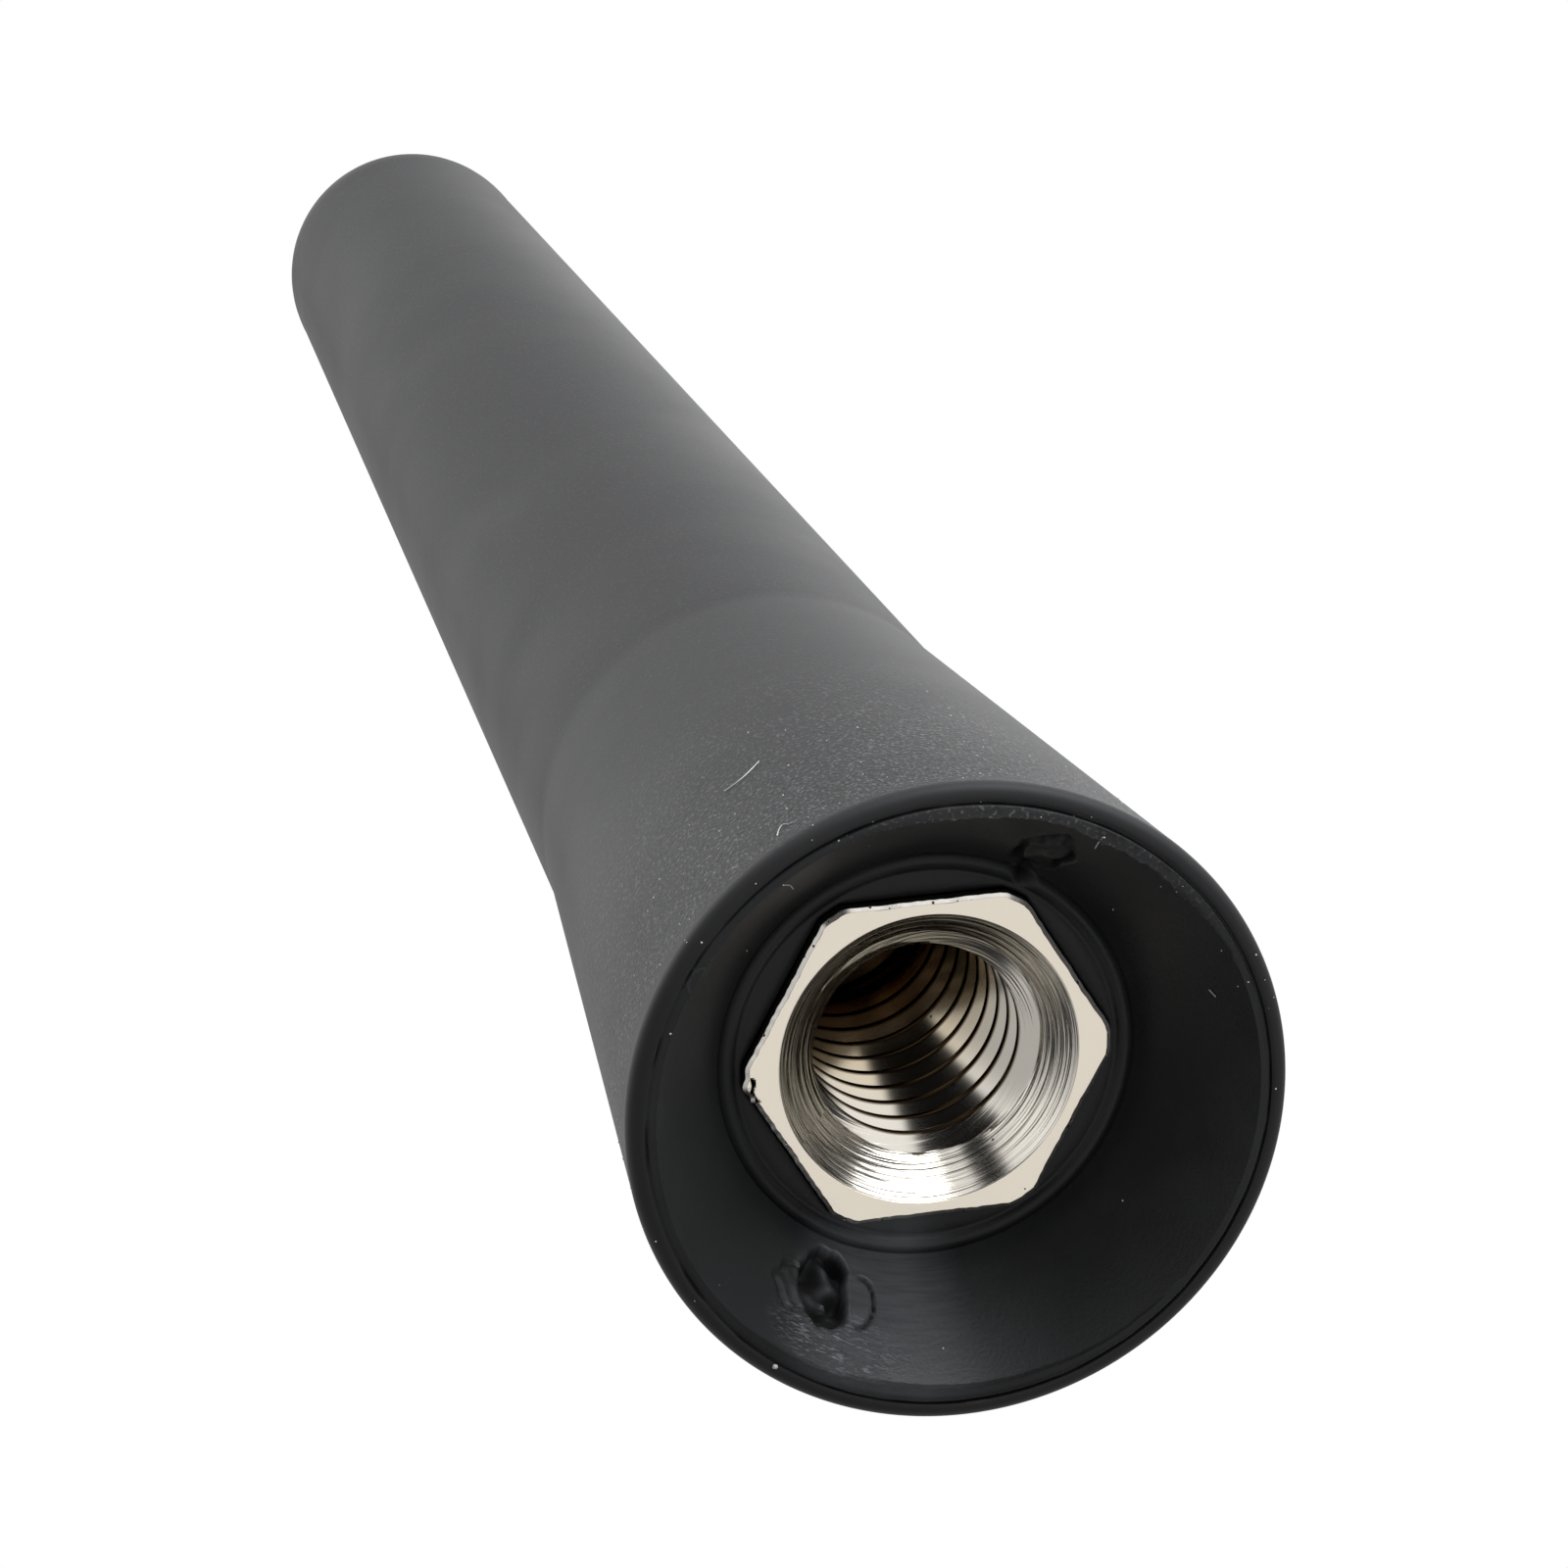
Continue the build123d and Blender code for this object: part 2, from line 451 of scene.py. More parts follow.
def bearing_of(tree, parts):
    """The bearing round the Z axis of a place that is split into its parts."""
    return calculate(tree, "ARCTAN2", parts["Y"], parts["X"])


def joined(tree, first, second):
    """A flat place from its X and Y."""
    return add_node(tree, "ShaderNodeCombineXYZ", {0: first, 1: second})[0]


# Rubber sheath

def oval(outward, across, centre, half_length, half_width, lean=0.0, fullness=2.0):
    """Distance from an oval's middle on the dish's wall, 1 on its edge, and the bearing from its middle."""
    turn = math.radians(lean)
    along = ((outward - centre[0]) * math.cos(turn) + (across - centre[1]) * math.sin(turn)) / half_length
    aside = ((across - centre[1]) * math.cos(turn) - (outward - centre[0]) * math.sin(turn)) / half_width
    reach = (np.abs(along) ** fullness + np.abs(aside) ** fullness) ** (1 / fullness)
    return reach, np.arctan2(aside, along)


def ragged(bearing, *waves):
    """The uneven edge of an oval: 1, with waves of a size, a number round the edge and a phase."""
    edge = np.ones_like(bearing)
    for size, number, phase in waves:
        edge = edge + size * np.sin(number * bearing + phase)
    return edge


def gate_flake(outward, across):
    """A flake beside the torn gate, with a crease round it."""
    reach, bearing = oval(outward, across, *gate_flake_oval)
    edge = ragged(bearing, *gate_flake_edge)
    face = gate_flake_rise + gate_flake_ripple * np.sin(8 * outward + 5 * across) * np.sin(9 * across)
    return face * smooth_step((edge - reach) / 0.4) - gate_flake_crease * hump(reach - edge, 0.10)


def gate_flap(outward, across):
    """A flap on the other side of the torn gate, cut along its far edge."""
    reach, _ = oval(outward, across, *gate_flap_oval)
    far_side = smooth_step((gate_flap_cut_start - across) / 0.25)
    cut = gate_flap_cut * hump(reach - 1.06, 0.08) * far_side
    return gate_flap_rise * smooth_step((1 - reach) / 0.5) - cut


def torn_gate(outward, across):
    """The larger gate: a torn crater with stumps left in it, and a flake and a flap beside it."""
    reach, bearing = oval(outward, across, *torn_gate_oval, fullness=2.4)
    edge = ragged(bearing, *torn_gate_edge)
    inside = smooth_step((edge - reach) / 0.20)
    floor = -torn_gate_depth + torn_gate_ripple * np.sin(9 * outward + 4 * across) * np.sin(8 * across + 1.0)
    for lump_outward, lump_across, width, height in torn_gate_lumps:
        square = (outward - lump_outward) ** 2 + (across - lump_across) ** 2
        floor = floor + height * np.exp(-square / width**2)
    torn_edge = torn_gate_burr * hump(reach - edge - 0.08, 0.09) * (0.6 + 0.4 * np.sin(4 * bearing + 1.0))
    beside = torn_edge + gate_flake(outward, across) + gate_flap(outward, across)
    return inside * floor + (1 - inside) * beside


def small_gate(outward, across):
    """The smaller gate: a ragged ring cut round a broken stub, with a tear that runs down over the bead."""
    reach, bearing = oval(outward, across, *small_gate_oval, lean=small_gate_lean)
    edge = ragged(bearing, *small_gate_edge)
    cut = -small_gate_depth * hump(reach - edge, 0.15) * (0.70 + 0.30 * np.sin(3 * bearing + 2.0))
    stub = small_gate_stub * smooth_step((edge - reach) / 0.3) * np.sin(5 * outward + 2) * np.sin(6 * across)
    tear_middle = tear_start + tear_sweep * smooth_step((-0.9 - outward) / 1.1)
    tear_length = smooth_step((-0.80 - outward) / 0.3)
    tear = -small_gate_depth * hump(across - tear_middle, tear_width) * tear_length
    return cut + stub + tear


def hexagon_radius(directions, half_flats, bar_radius):
    """Distance to a hexagon with corners at +Y and -Y, blunted by the bar that it is milled from."""
    from_flat = (directions + math.pi / 6) % (math.pi / 3) - math.pi / 6
    return np.minimum(half_flats / np.cos(from_flat), bar_radius)


def sheath_outside_outline():
    """Radius and height from the domed tip, down the shaft and flare, to the foot of the rim's rounding."""
    dome_steps = 24
    power = 2 / dome_fullness
    outline = []
    for step in range(dome_steps + 1):
        angle = math.pi / 2 * step / dome_steps
        rise = dome_height * abs(math.cos(angle)) ** power
        outline.append((tip_radius * math.sin(angle) ** power, mast_length - dome_height + rise))
    shaft_lean = (waist_radius - tip_radius) / (mast_length - dome_height - flare_height)
    flare_lean = (base_radius - waist_radius) / flare_height
    waist = (waist_radius, flare_height)
    blend_start = (waist_radius - shaft_lean * waist_blend, flare_height + waist_blend)
    blend_end = (waist_radius + flare_lean * waist_blend, flare_height - waist_blend)
    rim_start = (base_radius - flare_lean * rim_turn_height, rim_turn_height)
    rim_end = (flash_radius + 0.5 * flash_width, 0.0)
    outline += steps(outline[-1], blend_start, 30)
    outline += bend(blend_start, waist, blend_end, 6, 1.0)
    outline += steps(blend_end, rim_start, 24)
    outline += bend(rim_start, (base_radius + rim_turn_bulge, 0.0), rim_end, 18, 0.9)
    return outline


def flash_rows(directions, line):
    """The groove along the flash line, uneven in depth."""
    whole = smooth_step(1.4 - np.abs(turn_from(directions, whole_rim_direction)) / 0.9)
    depth = flash_depth * (1 + 0.5 * wander(directions, 4, (7, 13, 29, 53)))
    depth = depth * (1 - whole * (0.85 - 1.2 * np.maximum(wander(directions, 9, (11, 17, 23)), 0)))
    return [(line + offset * flash_width, share * depth) for offset, share in flash_groove]


def lip_rows(directions, line, torn):
    """The lip inside the flash line, wide and ragged where the mould tore it."""
    ragged_line = wander(directions, 5, (19, 37, 61, 97, 131)) + wander(directions, 6, (7, 13))
    broad = hump(turn_from(directions, broad_lip_direction), 0.75)
    width = lip_width + (torn_lip_width - lip_width) * torn + (broad_lip_width - lip_width) * broad
    width = width + (lip_raggedness + torn_lip_raggedness * torn) * ragged_line
    lip = line - flash_width - width
    rise = torn_lip_rise * torn * (1 + ragged_line)
    return [
        ((lip + line - flash_width) / 2, lip_rise + rise),
        (lip + lip_edge, lip_rise + rise / 2),
        (lip, lip_rise + torn_lip_end * torn),
    ]


def wall_rows(directions, lip):
    """The dish's sloped wall with its two gates, how far they rise from it, and how uneven its foot is."""
    torn_turn = turn_from(directions, gate_direction)
    small_turn = turn_from(directions, small_gate_direction)
    swollen = (0.5 + 0.5 * np.cos(turn_from(directions, swell_direction))) ** swell_sharpness
    start = np.minimum(lip - 0.01, dish_mouth)
    rows = []
    scars = []
    for step in range(wall_steps + 1):
        radius = start + (dish_foot - start) * step / wall_steps
        height = (dish_mouth - radius) * (dish_depth / dish_fall)
        scar = torn_gate((radius - torn_gate_radius) / wall_downward, radius * torn_turn)
        scar = scar + small_gate((radius - small_gate_radius) / wall_downward, radius * small_turn)
        scar = scar * smooth_step(step / scar_fade_steps)
        swell = dish_swell * math.sin(math.pi * step / wall_steps)
        uneven = wall_unevenness * wander(directions + 0.4 * radius, 8, (3, 5, 8)) + swell * swollen
        rows.append((radius - (scar + uneven) * wall_inward, height - (scar + uneven) * wall_downward))
        scars.append(scar)
    return rows, scars, uneven * wall_downward


def foot_rows(directions, pocket, scar, uneven):
    """The bead at the wall's foot, cut by the small gate's tear, and the floor up to the insert."""
    from_tear = turn_from(directions, small_gate_direction) * dish_foot - bead_tear_place
    bead_cut = 1 - bead_tear_depth * hump(from_tear, bead_tear_width)
    rows = []
    scars = []
    for step in range(1, bead_steps + 1):
        share = step / bead_steps
        radius = dish_foot + (bead_inner - dish_foot) * share
        swell = bead_height * math.sin(math.pi * share) ** 0.8 * bead_cut
        lowered = (scar + uneven) * (1 - share)
        rows.append(ring(directions, radius, dish_depth - swell - lowered))
        scars.append(scar * (1 - share))
    crease = bead_inner - crease_width
    floor = rings(directions, (
        (crease, dish_depth + crease_depth),
        (crease - 0.06, dish_depth),
        (pocket + crease_width, dish_depth),
        (pocket, dish_depth + crease_depth),
    ))
    return rows + floor, scars + [np.zeros_like(directions)] * len(floor)


def shank_outline(clear):
    """Radius and height along the insert's lock groove and collar, grown by a clearance."""
    bottom = collar_bottom - clear
    top = collar_top + clear
    return (
        (groove_radius + clear, hex_top + clear),
        (groove_radius + clear, bottom),
        (collar_radius + clear - edge_break, bottom),
        (collar_radius + clear, bottom + edge_break),
        (collar_radius + clear, top - edge_break),
        (collar_radius + clear - edge_break, top),
    )


def hollow_rows(directions, pocket):
    """The hollow that the insert and the core fill, up to the end of the rod."""
    clear = fit_clearance
    return rings(directions, (
        (pocket, dish_depth + pocket_mouth),
        (pocket, hex_top + clear),
        *shank_outline(clear),
        (sleeve_radius + clear, collar_top + clear),
        (sleeve_radius + clear, (collar_top + rod_top) / 2),
        (sleeve_radius + clear, rod_top + clear),
        (0, rod_top + clear),
    ))


def rubber_sheath(outside_finish, dish_finish):
    """The one moulding, grained outside and smooth from its rounded rim into the dish."""
    directions = crowded_directions(sheath_columns, gate_crowding, gate_direction, 2)
    pocket = hexagon_radius(directions, hex_half_flats + fit_clearance, hex_bar_radius + fit_clearance)
    line = flash_radius + flash_wander * wander(directions, 3, (2, 5, 9, 17, 31))
    torn_lip = smooth_step(1.3 - np.abs(turn_from(directions, torn_lip_direction)) / 0.75)
    outside = rings(directions, sheath_outside_outline())
    rim = flash_rows(directions, line) + lip_rows(directions, line, torn_lip)
    wall, wall_scars, foot_uneven = wall_rows(directions, rim[-1][0])
    foot, foot_scars = foot_rows(directions, pocket, wall_scars[-1], foot_uneven)
    rows = outside + rim + wall + foot + hollow_rows(directions, pocket)
    # The outside's finish ends in the flash groove, and the lip's marks and painted light start at the
    # groove's last row
    finishes = np.where(np.arange(len(rows) - 1) < len(outside) + 2, 0, 1)
    wall_start = len(outside) + len(rim)
    # Depth of the gates' cuts, which makes their colour darker the deeper they go
    torn = np.zeros((len(rows), len(directions)))
    torn[wall_start:wall_start + len(wall + foot)] = np.clip(-np.array(wall_scars + foot_scars) / 0.2, 0, 1)
    lip_and_light = np.zeros_like(torn)
    # The torn lip's rough pale finish, with its colour lighter on one side as painted light
    pale = 0.35 + 0.65 * smooth_step(-turn_from(directions, lit_lip_direction) / 0.9)
    lip_and_light[wall_start - 4:wall_start] = torn_lip * pale
    marks = {"gate_cut_depth": torn, "torn_lip_and_painted_light": lip_and_light}
    mesh = turned_mesh("sheath_moulding", rows, directions, finishes, marks)
    shade_by_angle(mesh, angle=50)
    mesh.materials.append(outside_finish)
    mesh.materials.append(dish_finish)
    return placed("sheath_moulding", mesh)


# Geometry trees

def end_tree(tree, geometry, finish):
    """Ends a geometry tree with real geometry in one finish."""
    whole = add_node(tree, "GeometryNodeRealizeInstances", {0: geometry})[0]
    finished = add_node(tree, "GeometryNodeSetMaterial", {0: whole, "Material": finish})[0]
    add_node(tree, "NodeGroupOutput", {0: finished})
    return tree


def run_nodes(piece, tree, sizes):
    """Runs a geometry tree on a piece with its named sizes, and keeps the result as its plain mesh."""
    modifier = piece.modifiers.new(tree.name, "NODES")
    modifier.node_group = tree
    for socket in tree.interface.items_tree:
        if socket.in_out == "INPUT" and socket.name in sizes:
            modifier[socket.identifier] = sizes[socket.name]
    whole = bpy.context.evaluated_depsgraph_get()
    mesh = bpy.data.meshes.new_from_object(piece.evaluated_get(whole))
    mesh.name = piece.name
    piece.modifiers.remove(modifier)
    piece.data = mesh
    return mesh


def named_mark(tree, name):
    """A mark that the mesh carries, by its name."""
    return add_node(tree, "GeometryNodeInputNamedAttribute", {"Name": name}, data_type="FLOAT")[0]


def swept_round(tree, curve, radius, sides):
    """A round bar along a curve, closed at its ends."""
    section = add_node(tree, "GeometryNodeCurvePrimitiveCircle", {"Resolution": sides, "Radius": radius})[0]
    inputs = {"Curve": curve, "Profile Curve": section, "Fill Caps": True}
    return add_node(tree, "GeometryNodeCurveToMesh", inputs)[0]


def thread_cutter(finish):
    """Geometry nodes that cut a right-hand thread into the wall of a hole along the Z axis."""
    sockets = (
        "Geometry", "Pitch", "Minor Radius", "Depth", "Root Half Width", "Flank Width", "End Height",
        "Run Out", "Inner Limit",
    )
    tree, sizes = new_tree("GeometryNodeTree", "thread_cutter", sockets, ("Geometry",))
    parts = split(tree, add_node(tree, "GeometryNodeInputPosition")[0])
    turn = calculate(tree, "DIVIDE", bearing_of(tree, parts), 2 * math.pi)
    climb = calculate(tree, "DIVIDE", parts["Z"], sizes["Pitch"])
    from_root = calculate(tree, "PINGPONG", calculate(tree, "SUBTRACT", climb, turn), 0.5)
    flank_end = calculate(tree, "ADD", sizes["Root Half Width"], sizes["Flank Width"])
    form = ramp(tree, from_root, sizes["Root Half Width"], flank_end, 1.0, 0.0, "LINEAR")
    left = calculate(tree, "SUBTRACT", sizes["End Height"], parts["Z"])
    fade = calculate(tree, "DIVIDE", left, sizes["Run Out"], clamp=True)
    flat = joined(tree, parts["X"], parts["Y"])
    radius = measured(tree, "LENGTH", flat)
    cut_radius = calculate(tree, "ADD", sizes["Minor Radius"], times(tree, form, fade, sizes["Depth"]))
    depth = calculate(tree, "SUBTRACT", calculate(tree, "MAXIMUM", radius, cut_radius), radius)
    outwards = add_node(tree, "ShaderNodeVectorMath", {0: flat}, operation="NORMALIZE")[0]
    step = add_node(tree, "ShaderNodeVectorMath", {0: outwards, 3: depth}, operation="SCALE")[0]
    in_wall = calculate(tree, "GREATER_THAN", named_mark(tree, "bore"), 0.5)
    off_axis = calculate(tree, "GREATER_THAN", radius, sizes["Inner Limit"])
    inputs = {"Geometry": sizes["Geometry"], "Selection": times(tree, in_wall, off_axis), "Offset": step}
    return end_tree(tree, add_node(tree, "GeometryNodeSetPosition", inputs)[0], finish)


def wound_wire(finish):
    """Geometry nodes that wind a round wire into an open coil along the Z axis."""
    sockets = ("Turns", "Coil Radius", "Wire Radius", "Bottom", "Height")
    tree, sizes = new_tree("GeometryNodeTree", "wound_wire", sockets, ("Geometry",))
    coil = add_node(tree, "GeometryNodeCurveSpiral", {
        "Resolution": turn_points, "Rotations": sizes["Turns"], "Start Radius": sizes["Coil Radius"],
        "End Radius": sizes["Coil Radius"], "Height": sizes["Height"],
    })[0]
    lift = add_node(tree, "ShaderNodeCombineXYZ", {2: sizes["Bottom"]})[0]
    raised_coil = add_node(tree, "GeometryNodeTransform", {"Geometry": coil, "Translation": lift})[0]
    return end_tree(tree, swept_round(tree, raised_coil, sizes["Wire Radius"], wire_sides), finish)


def scattered_dust(finish):
    """Geometry nodes that scatter small specks over a surface, densest near one end of it."""
    sockets = ("Geometry", "Density", "Reach", "Smallest", "Largest", "Seed")
    tree, sizes = new_tree("GeometryNodeTree", "scattered_dust", sockets, ("Geometry",))
    height = split(tree, add_node(tree, "GeometryNodeInputPosition")[0])["Z"]
    share = ramp(tree, height, 0.0, sizes["Reach"], 1.0, 0.0, "LINEAR")
    density = times(tree, share, named_mark(tree, "dusty"), sizes["Density"])
    inputs = {"Mesh": sizes["Geometry"], "Density": density, "Seed": sizes["Seed"]}
    points = add_node(tree, "GeometryNodeDistributePointsOnFaces", inputs)["Points"]
    grain = add_node(tree, "GeometryNodeMeshIcoSphere", {"Radius": 1.0, "Subdivisions": 1})[0]
    inputs = {2: sizes["Smallest"], 3: sizes["Largest"], "Seed": sizes["Seed"]}
    size = add_node(tree, "FunctionNodeRandomValue", inputs, data_type="FLOAT")[1]
    inputs = {"Points": points, "Instance": grain, "Scale": size}
    return end_tree(tree, add_node(tree, "GeometryNodeInstanceOnPoints", inputs)[0], finish)


def fibre_maker(finish):
    """Geometry nodes that turn bent lines into thin round fibres."""
    tree, sizes = new_tree("GeometryNodeTree", "fibre_maker", ("Geometry", "Fibre Radius"), ("Geometry",))
    line = add_node(tree, "GeometryNodeMeshToCurve", {"Mesh": sizes["Geometry"]})[0]
    soft = add_node(tree, "GeometryNodeCurveSplineType", {"Curve": line}, spline_type="CATMULL_ROM")[0]
    return end_tree(tree, swept_round(tree, soft, sizes["Fibre Radius"], hair_sides), finish)


# Threaded insert

def bore_rows(directions):
    """The drilled and countersunk hole, in rows that climb with the thread from its far end to the mouth."""
    lead = thread_pitch * (directions - directions[0]) / (2 * math.pi)
    row_rise = thread_pitch / rows_per_pitch
    row_count = math.ceil((thread_end - insert_face + thread_pitch) / row_rise)
    rows = [ring(directions, 0, drill_point)]
    for row in range(row_count + 1):
        height = np.clip(thread_end - row * row_rise + lead, insert_face, thread_end)
        depth = height - insert_face
        rows.append((np.maximum(thread_minor, mouth_radius - depth), height))
    return rows


def hexagon_rows(directions):
    """The hexagon's face, its worn edge with the nick at one corner, and its sides."""
    outline = hexagon_radius(directions, hex_half_flats, hex_bar_radius)
    worn = hex_edge_unevenness * wander(directions, 12, (17, 31, 47, 71, 97)) - hex_edge_loss
    from_nick = turn_from(directions, nick_direction) * hex_bar_radius
    nicked = smooth_step((nick_length / 2 - np.abs(from_nick)) / nick_end_length)
    face_end = outline - hex_face_inset
    rows = []
    for share in hex_face_rows:
        rows.append(ring(directions, mouth_radius + (face_end - mouth_radius) * share, insert_face))
    slit_middle = nick_slit_inset + nick_slit_wave * np.sin(9 * from_nick)
    for inset in nick_rows:
        slit = nick_slit_depth * hump(inset - slit_middle, nick_slit_width) * nicked
        rows.append((outline - inset, insert_face + slit))
    burr = nicked * (nick_burr + nick_burr_wave * np.sin(14 * from_nick))
    for inset, rise, wear in hex_edge_wear:
        radius = outline - hex_edge * inset + (worn + burr) * wear
        rows.append(ring(directions, radius, insert_face + hex_edge * rise))
    rows.append(ring(directions, outline, hex_top))
    return rows


def shank_rows(directions):
    """The lock groove, the collar, and the stem with its socket for the rod."""
    return rings(directions, (
        *shank_outline(0),
        (stem_radius, collar_top),
        (stem_radius, stem_top),
        (rod_radius + fit_clearance, stem_top),
        (rod_radius + fit_clearance, socket_floor),
        (0, socket_floor),
    ))


def threaded_insert(finish):
    """The turned insert, with the thread cut into its bore."""
    directions = crowded_directions(insert_columns, nick_crowding, nick_direction, 1)
    bore = bore_rows(directions)
    rows = bore + hexagon_rows(directions) + shank_rows(directions)
    in_bore = np.zeros((len(rows), len(directions)))
    in_bore[:len(bore)] = 1.0
    mesh = turned_mesh("nickel_insert", rows, directions, np.zeros(len(rows) - 1), {"bore": in_bore})
    piece = placed("nickel_insert", mesh)
    mesh = run_nodes(piece, thread_cutter(finish), {
        "Pitch": thread_pitch * MM,
        "Minor Radius": thread_minor * MM,
        "Depth": thread_depth * MM,
        "End Height": thread_end * MM,
        "Run Out": run_out * MM,
        "Root Half Width": root_half_width,
        "Flank Width": flank_width,
        "Inner Limit": 0.5 * thread_minor * MM,
    })
    shade_by_angle(mesh, angle=22)
    return piece


# Winding, dust and lint

def antenna_winding(finish):
    """The enamelled wire round the rod."""
    piece = placed("copper_winding", bpy.data.meshes.new("copper_winding"))
    mesh = run_nodes(piece, wound_wire(finish), {
        "Turns": float(winding_turns),
        "Coil Radius": coil_radius * MM,
        "Wire Radius": wire_radius * MM,
        "Bottom": (winding_low.z + wire_radius) * MM,
        "Height": (winding_high.z - winding_low.z - 2 * wire_radius) * MM,
    })
    shade_by_angle(mesh, angle=60)
    return piece


def dust_specks(sheath_piece, finish):
    """Specks of dust on the sheath, mostly just outside its rim and a few on the lip and in the dish."""
    mesh = sheath_piece.data.copy()
    dusty = mesh.attributes.new("dusty", "FLOAT", "POINT")
    places = np.empty(len(mesh.vertices) * 3)
    mesh.vertices.foreach_get("co", places)
    x, y, height = places.reshape(-1, 3).T / MM
    reach = np.hypot(x, y)
    bearing = np.arctan2(y, x)
    outside = reach > flash_radius + flash_width - height * 0.1
    in_dish = (reach > bead_inner) & (height < dish_depth)
    torn = np.abs(turn_from(bearing, torn_lip_direction)) < 0.9
    on_lip = (reach > dish_mouth - torn_lip_width) & (height < 0.3) & torn
    patchy = 0.3 + 1.6 * np.maximum(wander(bearing + 0.3 * height, 21, (5, 9, 14, 23)), 0)
    patchy = patchy * np.where(height < 0.6, 0.5, 1.0)
    share = np.where(outside, patchy, np.where(on_lip, lip_dust, np.where(in_dish, dish_dust, 0.0)))
    dusty.data.foreach_set("value", share.astype(np.float32))
    piece = placed("dust_specks", mesh)
    run_nodes(piece, scattered_dust(finish), {
        "Density": dust_density / MM**2,
        "Reach": dust_height * MM,
        "Smallest": smallest_speck * MM,
        "Largest": largest_speck * MM,
        "Seed": dust_seed,
    })
    return piece


def point_beside(side, direction, height):
    """A point just off a side that runs straight from a low radius to a high one."""
    low_radius, high_radius, length, lift = side
    radius = low_radius + (high_radius - low_radius) * height / length + lift
    return Matrix.Rotation(math.radians(direction), 3, "Z") @ Vector((radius, 0, height))


def lint_fibres(finish):
    """Hairs of lint caught on the flare, on the rim and in the dish."""
    points = []
    edges = []
    for side, places in hairs:
        edges += [(len(points) + step, len(points) + step + 1) for step in range(len(places) - 1)]
        points += [point_beside(side, direction, height) * MM for direction, height in places]
    mesh = bpy.data.meshes.new("lint_fibres")
    mesh.from_pydata(points, edges, [])
    piece = placed("lint_fibres", mesh)
    mesh = run_nodes(piece, fibre_maker(finish), {"Fibre Radius": hair_radius * MM})
    shade_by_angle(mesh, angle=60)
    return piece


def rim_flake(finish):
    """The one large white flake on the rim's outer edge."""
    shell = bmesh.new()
    bmesh.ops.create_icosphere(shell, subdivisions=2, radius=flake_radius * MM)
    for corner in shell.verts:
        along_x = math.sin(flake_waves[0] / MM * corner.co.y)
        along_y = math.sin(flake_waves[1] / MM * corner.co.x)
        corner.co += flake_crumple * flake_radius * MM * Vector((along_x, along_y, 0))
        corner.co += Vector(flake_centre) * MM
    mesh = bpy.data.meshes.new("rim_flake")
    shell.to_mesh(mesh)
    shell.free()
    mesh.materials.append(finish)
    return placed("rim_flake", mesh)


# Shared finishes

def noise(tree, place, scale=1.0, detail=3.0, roughness=0.5, distortion=0.0):
    """Uneven values from 0 to 1."""
    inputs = {
        "Vector": place, "Scale": scale, "Detail": detail, "Roughness": roughness, "Distortion": distortion,
    }
    return add_node(tree, "ShaderNodeTexNoise", inputs)[0]


def fine_grain_group():
    """Small rounded grains, as a height, as the tops of the grains and as the hollows between them."""
    sockets = ("Place", "Grain Size"), ("Height", "Tops", "Hollows")
    tree, given = new_tree("ShaderNodeTree", "fine_grain", *sockets)
    height = noise(tree, given["Place"], calculate(tree, "DIVIDE", 1.0, given["Grain Size"]), 2.0)
    tops = ramp(tree, height, 0.54, 0.70)
    hollows = ramp(tree, height, 0.46, 0.31)
    add_node(tree, "NodeGroupOutput", {"Height": height, "Tops": tops, "Hollows": hollows})
    return tree


def slow_mottle_group():
    """Slow uneven patches, as moulding and handling leave them."""
    tree, given = new_tree("ShaderNodeTree", "slow_mottle", ("Place", "Patch Size"), ("Patches",))
    uneven = noise(tree, given["Place"], calculate(tree, "DIVIDE", 1.0, given["Patch Size"]), 4.0, 0.55, 0.4)
    add_node(tree, "NodeGroupOutput", {"Patches": ramp(tree, uneven, 0.32, 0.68)})
    return tree


def specks_group():
    """Scattered round specks, such as pits or chips: 1 on a speck and 0 elsewhere."""
    sockets = ("Place", "Spacing", "Amount", "Speck Size"), ("Specks",)
    tree, given = new_tree("ShaderNodeTree", "specks", *sockets)
    scale = calculate(tree, "DIVIDE", 1.0, given["Spacing"])
    cells = add_node(tree, "ShaderNodeTexVoronoi", {"Vector": given["Place"], "Scale": scale})
    chosen = calculate(tree, "LESS_THAN", cells["Color"], given["Amount"])
    share = calculate(tree, "DIVIDE", given["Speck Size"], given["Spacing"])
    near = ramp(tree, cells["Distance"], share, times(tree, share, 1.4), 1.0, 0.0, "LINEAR")
    add_node(tree, "NodeGroupOutput", {"Specks": times(tree, near, chosen)})
    return tree


fine_grain = fine_grain_group()
slow_mottle = slow_mottle_group()
specks = specks_group()


def grains(tree, place, size):
    """The height, tops and hollows of fine grain."""
    return add_node(tree, "ShaderNodeGroup", {"Place": place, "Grain Size": size}, node_tree=fine_grain)


def mottle(tree, place, size):
    """Slow uneven patches from 0 to 1."""
    return add_node(tree, "ShaderNodeGroup", {"Place": place, "Patch Size": size}, node_tree=slow_mottle)[0]


def pitted(tree, place, spacing, amount, size):
    """Round specks from 0 to 1."""
    inputs = {"Place": place, "Spacing": spacing, "Amount": amount, "Speck Size": size}
    return add_node(tree, "ShaderNodeGroup", inputs, node_tree=specks)[0]


def mix_colour(tree, share, first, second):
    """A colour between two, each a socket or its red, green and blue."""
    inputs = {0: share}
    for socket, colour in ((6, first), (7, second)):
        inputs[socket] = colour if isinstance(colour, bpy.types.NodeSocket) else (*colour, 1)
    return add_node(tree, "ShaderNodeMix", inputs, data_type="RGBA")[2]


def layered(tree, colour, *layers):
    """A colour with other colours laid over it, each by its share."""
    for share, over in layers:
        colour = mix_colour(tree, share, colour, over)
    return colour


def mix_value(tree, share, first, second):
    """A value between two."""
    return add_node(tree, "ShaderNodeMix", {0: share, 2: first, 3: second}, data_type="FLOAT")[0]


